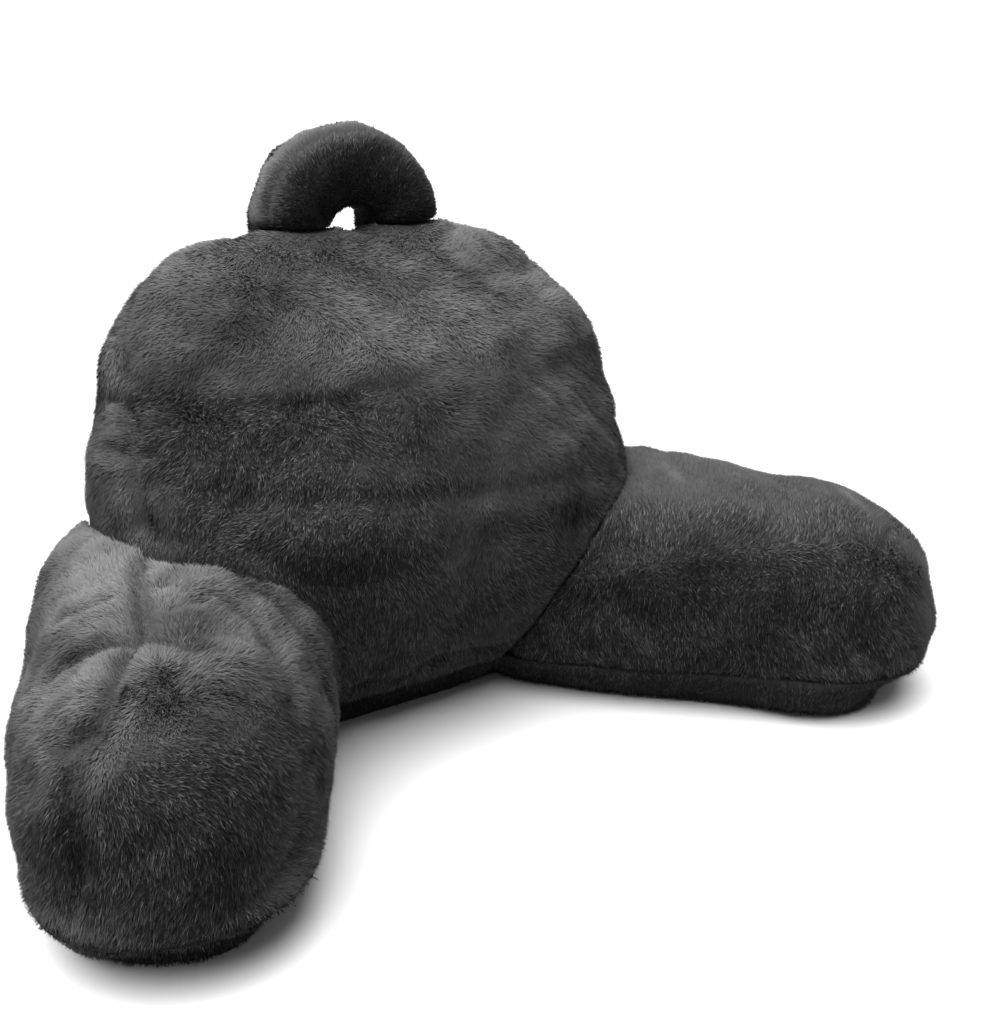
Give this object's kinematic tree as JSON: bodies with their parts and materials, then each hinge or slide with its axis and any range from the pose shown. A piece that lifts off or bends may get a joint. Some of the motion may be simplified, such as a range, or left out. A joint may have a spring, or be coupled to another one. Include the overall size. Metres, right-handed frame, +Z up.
{
  "type": "back support pillow",
  "caption": "Plush fur back support pillow that stands by itself: crowned reclined back, two splayed arm bolsters, a padded carry handle and a U-shaped base panel.",
  "frame": {"origin": "on the floor, under the middle of the pillow's box", "axes": "+Z up, -Y towards the sitter, where the two arms point, +X to the right of someone who looks at the front"},
  "size_m": [0.819, 0.4602, 0.4919],
  "materials": {
    "back_fur": "dense plush fur, charcoal grey",
    "arm_fur": "dense plush fur, charcoal grey",
    "handle_fur": "dense plush fur, charcoal grey",
    "base_fur": "short plush fur, darker charcoal grey"
  },
  "bodies": {
    "root": {"back_cushion": "back_fur", "left_arm": "arm_fur", "right_arm": "arm_fur", "carry_handle": "handle_fur", "base_panel": "base_fur"}
  },
  "joints": []
}
